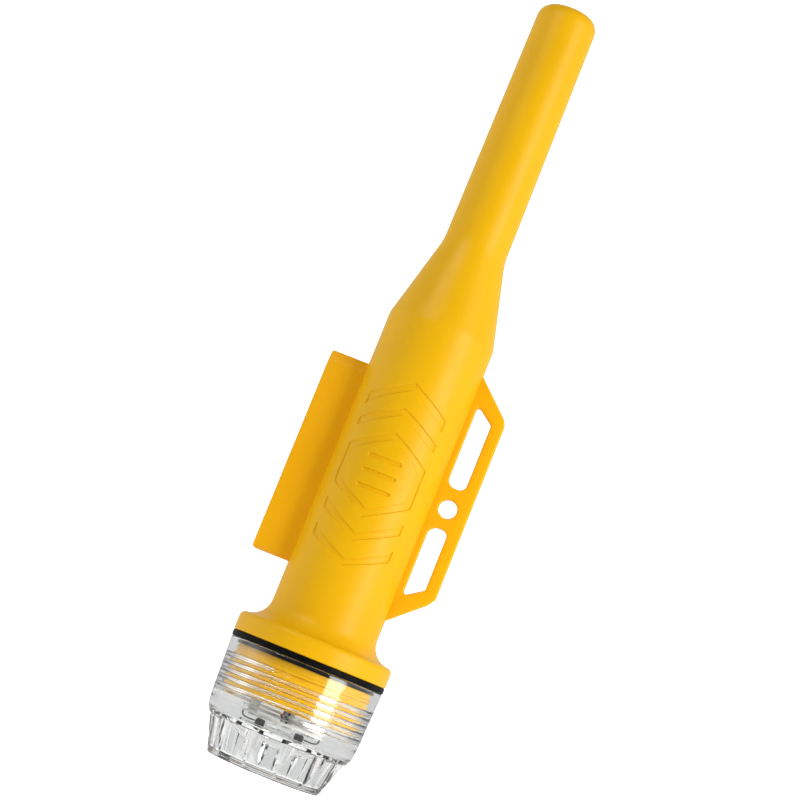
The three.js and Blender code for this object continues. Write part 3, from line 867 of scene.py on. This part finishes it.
def make_reed():
    """A glass tube with two overlapping blades, and a rubber sleeve on each end."""
    lo, hi = box_mm("reed_glass")
    y, z, half = (lo.y + hi.y) / 2, (lo.z + hi.z) / 2, (hi.x - lo.x) / 2
    signs = (-1, 1)
    glass = Shell()
    turned_x(glass, [
        (0, -half), (0.7, -half + 0.1), (1.2, -half + 0.5), (1.6, -half + 1.4), (1.6, half - 1.4),
        (1.2, half - 0.5), (0.7, half - 0.1), (0, half),
    ], 24, y, z)
    for side in signs:
        ends = sorted((side * (half - 0.6), -side * 1.2))
        middle = z + 0.18 * side
        blade = [(x, y + a * 0.55, middle + b * 0.12) for x in ends for a in signs for b in signs]
        glass.add(blade, BOX_FACES, SECOND)
    glass.piece("reed_switch", [CLEAR_GLASS, STEEL], "float", "reed_glass")
    for side, name in zip(signs, ("left", "right")):
        lo, hi = box_mm(f"reed_sleeve_{name}")
        near, far = (hi.x, lo.x) if side < 0 else (lo.x, hi.x)
        sleeve = Shell()
        turned_x(sleeve, [
            (0, near), (2.0, near), (2.35, near + side * 0.25), (2.5, near + side * 0.7),
            (2.5, far - side * 1.2), (2.1, far - side * 0.5), (1.3, far - side * 0.1), (0.9, far),
            (0, far),
        ], 28, y, z)
        sleeve.piece(
            f"shrink_sleeve_{name}", [RUBBER], "float", f"reed_sleeve_{name}")


def make_lamp(number):
    """A white case with one cut corner and a round well full of phosphor, and metal feet."""
    node = f"led_{number}"
    lo, hi = box_mm(node)
    cx, cy, top, low = (lo.x + hi.x) / 2, (lo.y + hi.y) / 2, hi.z, lo.z
    angle = (number - 1) * pi / 3

    def spot(u, v, z):
        return (cx + u * cos(angle) - v * sin(angle), cy + u * sin(angle) + v * cos(angle), z)

    half, cut, well_r = 2.5, 1.9, 1.85
    case = rounded([
        (-half, -half, 0.3), (half, -half, 0.3), (half, half, 0.3), (-cut, half, 0.1),
        (-half, cut, 0.1),
    ], closed=True, step=30)
    n = len(case)
    first = atan2(case[0][1], case[0][0])
    turns = [2 * pi * k / n + first for k in range(n)]
    well = [(well_r * cos(a), well_r * sin(a)) for a in turns]
    rows = [
        [spot(u, v, top) for u, v in case],  # against the board
        [spot(u, v, low + 0.15) for u, v in case],
        [spot(u * 0.96, v * 0.96, low) for u, v in case],  # the bevelled face
        [spot(u, v, low) for u, v in well],
        [spot(u * 0.86, v * 0.86, low + 0.35) for u, v in well],  # the well's bottom
    ]
    faces = []
    for k in range(len(rows) - 1):
        for j in range(n):
            a, b = k * n, (k + 1) * n
            faces.append((b + j, b + (j + 1) % n, a + (j + 1) % n, a + j))
    lamp = Shell()
    lamp.add([p for row in rows for p in row], faces + [tuple(range(n))])
    lamp.add_faces(0, [tuple(reversed(range(4 * n, 5 * n)))], SECOND)
    for side in (-1, 1):
        ends = sorted((side * 2.3, side * 2.75))
        for v in (-1.6, 0, 1.6):
            sides, heights = (v - 0.4, v + 0.4), (top - 0.45, top)
            foot = [spot(x, y, z) for x in ends for y in sides for z in heights]
            lamp.add(foot, BOX_FACES, THIRD)
    lamp.piece(f"lamp_{number}", [WHITE, PHOSPHOR, STEEL], "float", node)


# ---- CAD nodes that stay -------------------------------------------------------------------

# Materials by the start of a node's name. The longest match counts.
KEPT = {
    "end_plate": WHITE, "end_plate_screw": STEEL, "led_board": BOARD_WHITE,
    "led_board_screw": STEEL, "reed_lead": BLACK_WIRE, "charge_socket": STEEL,
    "battery_cell": CELL_WRAP, "cell_holder": BLACK, "cell_strap": STEEL, "chassis_sled": WHITE,
    "main_board": BOARD_GREEN, "main_board_screw": STEEL, "radio_shield": STEEL,
    "processor_chip": BLACK, "antenna_bulkhead": WHITE, "gnss_patch": CERAMIC,
    "antenna_rod": WHITE, "antenna_coil": COPPER, "antenna_spacer": FOAM, "led_wire_red": RED,
    "led_wire_black": BLACK_WIRE, "antenna_coax": BLACK_WIRE,
}


def finish_cad_nodes():
    for name, node in NODES.items():
        if node.hide_render:
            continue
        key = max((k for k in KEPT if name.startswith(k)), key=len)
        node.data.materials.clear()
        node.data.materials.append(KEPT[key])


# ---- Studio, in metres ---------------------------------------------------------------------


def area_light(name, place, target, size, power, tint=(1, 1, 1)):
    data = bpy.data.lights.new(name, "AREA")
    data.shape = "RECTANGLE"
    data.size, data.size_y = size
    data.energy = power
    data.color = tint
    lamp = bpy.data.objects.new(name, data)
    bpy.context.scene.collection.objects.link(lamp)
    lamp.location = place
    lamp.rotation_mode = "QUATERNION"
    lamp.rotation_quaternion = (Vector(target) - Vector(place)).to_track_quat("-Z", "Y")


def add_floor():
    """A pale sweep: flat under the buoy, then curving up behind it. To the camera it is white."""
    look = Look("studio_floor")
    look.mottle("Base Color", grey(0.9), grey(0.92), 3, 2)
    look.set(Roughness=0.9, Emission_Color=(1, 1, 1, 1))
    glow = look.nodes.new("ShaderNodeMath")
    glow.operation = "MAXIMUM"
    glow.inputs[1].default_value = 0.25
    seen = look.nodes.new("ShaderNodeLightPath").outputs["Is Camera Ray"]
    look.links.new(seen, glow.inputs[0])
    look.to(glow.outputs["Value"], "Emission Strength")
    side, front, back, bend, top = 6.0, -0.45, 2.2, 1.8, 5.0
    sink = 0.0004  # keeps the floor just clear of the cap
    path = [(front, 0.0), (back, 0.0), *arc(back, bend, bend, range(-84, 1, 6)), (back + bend, top)]
    verts = [(x, y, z - sink) for y, z in path for x in (-side, side)]
    faces = [(2 * k, 2 * k + 1, 2 * k + 3, 2 * k + 2) for k in range(len(path) - 1)]
    mesh = bpy.data.meshes.new("studio_floor")
    mesh.from_pydata(verts, [], faces)
    mesh.shade_smooth()
    mesh.materials.append(look.material)
    floor = bpy.data.objects.new("studio_floor", mesh)
    bpy.context.scene.collection.objects.link(floor)


def add_world():
    """White to the camera. As light, it is dark in front and dimmer above."""
    world = bpy.data.worlds.new("studio")
    bpy.context.scene.world = world
    world.use_nodes = True
    nodes, links = world.node_tree.nodes, world.node_tree.links
    split = nodes.new("ShaderNodeSeparateXYZ")
    links.new(nodes.new("ShaderNodeTexCoord").outputs["Generated"], split.inputs["Vector"])

    def level(axis, start, end, at_start, at_end):
        """A smooth change of level along one axis of the direction."""
        node = nodes.new("ShaderNodeMapRange")
        node.interpolation_type = "SMOOTHSTEP"
        values = {"From Min": start, "From Max": end, "To Min": at_start, "To Max": at_end}
        for key, value in values.items():
            node.inputs[key].default_value = value
        links.new(split.outputs[axis], node.inputs["Value"])
        return node.outputs["Result"]

    def join(operation, first, second):
        node = nodes.new("ShaderNodeMath")
        node.operation = operation
        links.new(first, node.inputs[0])
        links.new(second, node.inputs[1])
        return node.outputs["Value"]

    light = join("MULTIPLY", level("Y", -0.85, -0.3, 0.1, 0.84), level("Z", 0, 0.9, 1.25, 0.35))
    seen = nodes.new("ShaderNodeLightPath").outputs["Is Camera Ray"]
    links.new(join("MAXIMUM", light, seen), nodes["Background"].inputs["Strength"])
    nodes["Background"].inputs["Color"].default_value = (1, 1, 1, 1)


make_float_body()
make_mast()
make_cap()
make_seals()
make_reed()
for number in range(1, 7):
    make_lamp(number)
finish_cad_nodes()
add_floor()
add_world()
area_light("key", (1.28, -0.86, 0.45), (0, 0, 0.25), (0.8, 1.3), 20.5, (1, 0.985, 0.96))
area_light("fill", (-1.5, -0.2, 0.5), (0, 0, 0.25), (0.6, 1.2), 1.5)
area_light("front", (-0.95, -1.3, 1.4), (0, 0, 0.2), (1.0, 0.5), 12)

bpy.context.scene.view_settings.view_transform = "Standard"
